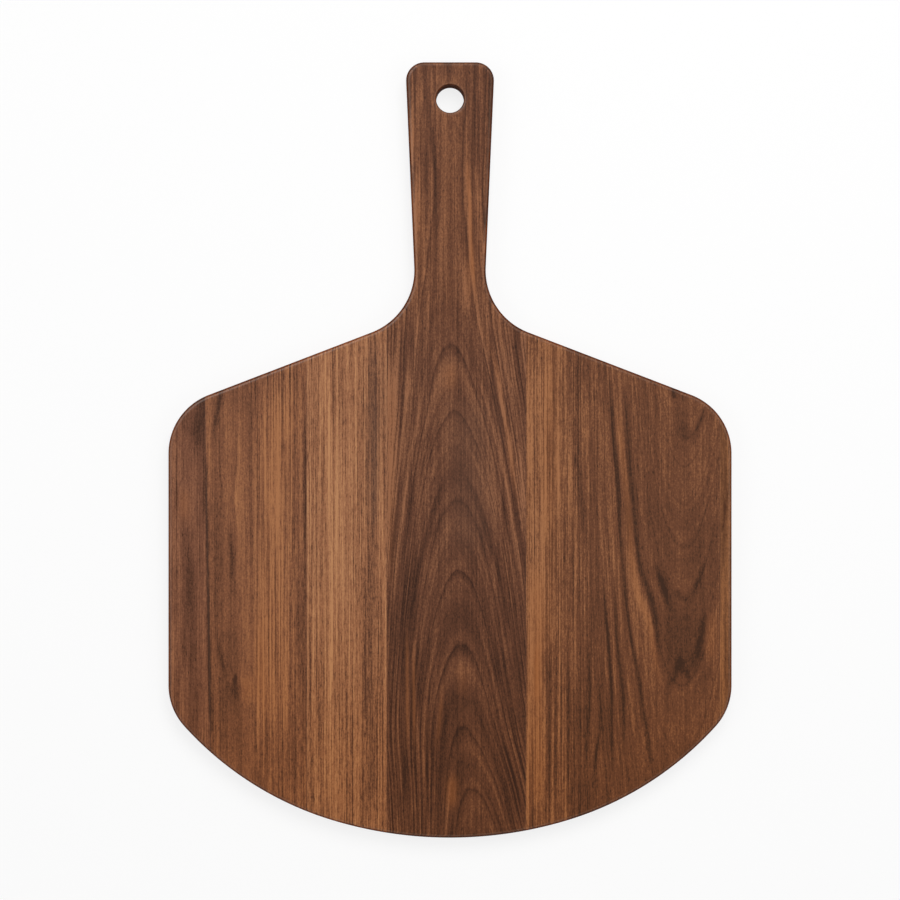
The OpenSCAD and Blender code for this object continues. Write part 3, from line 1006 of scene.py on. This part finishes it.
# Dried glue: dark brown, with a slow change of tone along the joint
def glueMaterial():
    material, wire, shader = newMaterial("driedGlue")
    stretched = {0: wire.attribute("grain"), 1: driedGlue["stretch"]}
    scaled = wire.node("ShaderNodeVectorMath", {"operation": "MULTIPLY"}, stretched)
    sockets = {"Vector": scaled, "Scale": 1.0, "Detail": driedGlue["detail"]}
    change = wire.node("ShaderNodeTexNoise", {}, sockets)
    colour = change.step(*driedGlue["lightFrom"]).mix(driedGlue["dark"], driedGlue["light"])
    rough, sheen = driedGlue["roughness"], driedGlue["sheenLevel"]
    wire.fill(shader, {"Base Color": colour, "Roughness": rough, "Specular IOR Level": sheen})
    return material


# New object in the scene
def newObject(name, data):
    made = bpy.data.objects.new(name, data)
    bpy.context.scene.collection.objects.link(made)
    return made


# Makes a piece: its mesh at the origin, on the one body, in place of its CAD node. Its attributes are
# grain: the place across the grain, along the board and in height, in millimetres
# figure: the count of rings, and the tone and warmth of the marks
# sawn: the share that the rings show, how near the heart line the wood lies, and how amber it is
# edgeTurn: how far the eased edge has turned away from the face
def makePiece(node, leftLine, rightLine, material, figure=None):
    grids = staveGrids(leftLine, rightLine, node == "handle_stave", figure is None)
    mesh = meshFromGrids(node, grids)
    points = np.empty(len(mesh.vertices) * 3, np.float32)
    mesh.vertices.foreach_get("co", points)
    points = points.reshape(-1, 3).astype(float) / mm
    across = points[:, 0]
    if figure:
        rings, tone, warmth, share, flat, across = woodFigure(points, figure)
        amber = smoothPath(amberPath, points[:, 1])
        setAttribute(mesh, "sawn", np.stack([share, flat, amber], axis=-1))
        setAttribute(mesh, "figure", np.stack([rings, tone, warmth], axis=-1))
    setAttribute(mesh, "grain", np.stack([across, points[:, 1], points[:, 2]], axis=-1))
    setAttribute(mesh, "edgeTurn", edgeTurn(points))
    mesh.materials.append(material)
    kind = "wood" if figure else "film"
    piece = newObject(f"{node}_{kind}", mesh)
    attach(piece, "root")
    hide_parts(node)
    print(f"{piece.name}: {len(mesh.polygons)} faces")


for seed, figure in enumerate(staves):
    leftName, rightName = figure["between"]
    leftLine = jointSide(leftName, 1) if leftName else None
    rightLine = jointSide(rightName, -1) if rightName else None
    wood = woodMaterial(figure["slot"], figure, seed)
    makePiece(figure["node"], leftLine, rightLine, wood, figure)
print(f"{len(staves)} staves are in place")

glue = glueMaterial()
for name, joint in joints.items():
    makePiece(joint["node"], jointSide(name, -1), jointSide(name, 1), glue)
print(f"{len(joints)} glue lines are in place")

# Floor, light and camera, with lengths in metres, except the lens and its sensor
studio = {
    "cameraHeight": 1.8185,
    "lens": 100.0,
    "sensor": 36.0,
    "sky": 0.25,  # how strongly the sky lights the board
    "floorSize": 12.0,
    "floorColour": (0.97, 0.97, 0.97, 1.0),
    "floorRoughness": 0.9,
    "floorGlow": 0.80,  # how much of the floor's look is its own white
    "glowStrength": 1.02,
    "white": (1.0, 1.0, 1.0, 1.0),
    # name: place, size, watts, whether it lights the board, whether it shows as a reflection
    "lamps": {
        "keyLamp": ((0.25, 0.90, 1.70), 1.2, 21.0, True, False),
        "leftLamp": ((-1.3, 0.1, 1.7), 1.2, 5.0, True, True),
        "rightLamp": ((1.3, -0.2, 1.8), 1.2, 5.0, True, True),
        "sheenLamp": ((-0.85, 1.05, 1.3), 0.8, 70.0, False, True),
    },
}


# 1 for rays that reach the eye straight, off a gloss or through glass, and 0 for those that light things
def eyeRays(wire):
    path = wire.node("ShaderNodeLightPath", {}, {}).socket.node
    camera, glossy, through = (
        Wire(wire.tree, path.outputs[name])
        for name in ("Is Camera Ray", "Is Glossy Ray", "Is Transmission Ray")
    )
    return wire.calculate("MAXIMUM", camera, wire.calculate("MAXIMUM", glossy, through))


# Pale floor: plain white paint, mixed for the eye with an even white, so that it looks white and keeps
# the board's shadow
def makeFloor():
    reach = studio["floorSize"] / 2
    corners = [(-reach, -reach, 0), (reach, -reach, 0), (reach, reach, 0), (-reach, reach, 0)]
    mesh = bpy.data.meshes.new("floor")
    mesh.from_pydata(corners, [], [(0, 1, 2, 3)])
    material, wire, shader = newMaterial("palePaint")
    colour, rough = studio["floorColour"], studio["floorRoughness"]
    wire.fill(shader, {"Base Color": colour, "Roughness": rough, "Specular IOR Level": 0.0})
    white = {"Color": studio["white"], "Strength": studio["glowStrength"]}
    glow = wire.node("ShaderNodeEmission", {}, white)
    painted = Wire(wire.tree, shader.outputs[0])
    glowShare = eyeRays(wire) * studio["floorGlow"]
    mixed = wire.node("ShaderNodeMixShader", {}, {0: glowShare, 1: painted, 2: glow})
    wire.fill(wire.tree.nodes["Material Output"], {"Surface": mixed})
    mesh.materials.append(material)
    newObject("floor", mesh)


# White sky, at full strength for the eye and at a lower one for what it lights
def makeSky():
    world = bpy.data.worlds.new("studioSky")
    world.use_nodes = True
    wire = Wire(world.node_tree)
    strength = eyeRays(wire) * (1.0 - studio["sky"]) + studio["sky"]
    wire.fill(wire.tree.nodes["Background"], {"Color": studio["white"], "Strength": strength})
    bpy.context.scene.world = world


# Round lamp that faces the middle of the board
def makeLamp(name, place, size, power, lit, reflected):
    lamp = bpy.data.lights.new(name, "AREA")
    lamp.shape = "DISK"
    lamp.size = size
    lamp.energy = power
    holder = newObject(name, lamp)
    holder.location = place
    holder.rotation_euler = (-Vector(place)).to_track_quat("-Z", "Y").to_euler()
    holder.visible_camera = False
    holder.visible_diffuse = lit
    holder.visible_glossy = reflected


# Camera straight above the board
def makeCamera():
    camera = bpy.data.cameras.new("photoCamera")
    camera.lens = studio["lens"]
    camera.sensor_width = studio["sensor"]
    holder = newObject("photoCamera", camera)
    holder.location = (0.0, 0.0, studio["cameraHeight"])
    bpy.context.scene.camera = holder


makeFloor()
makeSky()
for name, (place, size, power, lit, reflected) in studio["lamps"].items():
    makeLamp(name, place, size, power, lit, reflected)
makeCamera()
bpy.context.scene.view_settings.view_transform = "Standard"
print("floor, sky, lamps and camera are in place")
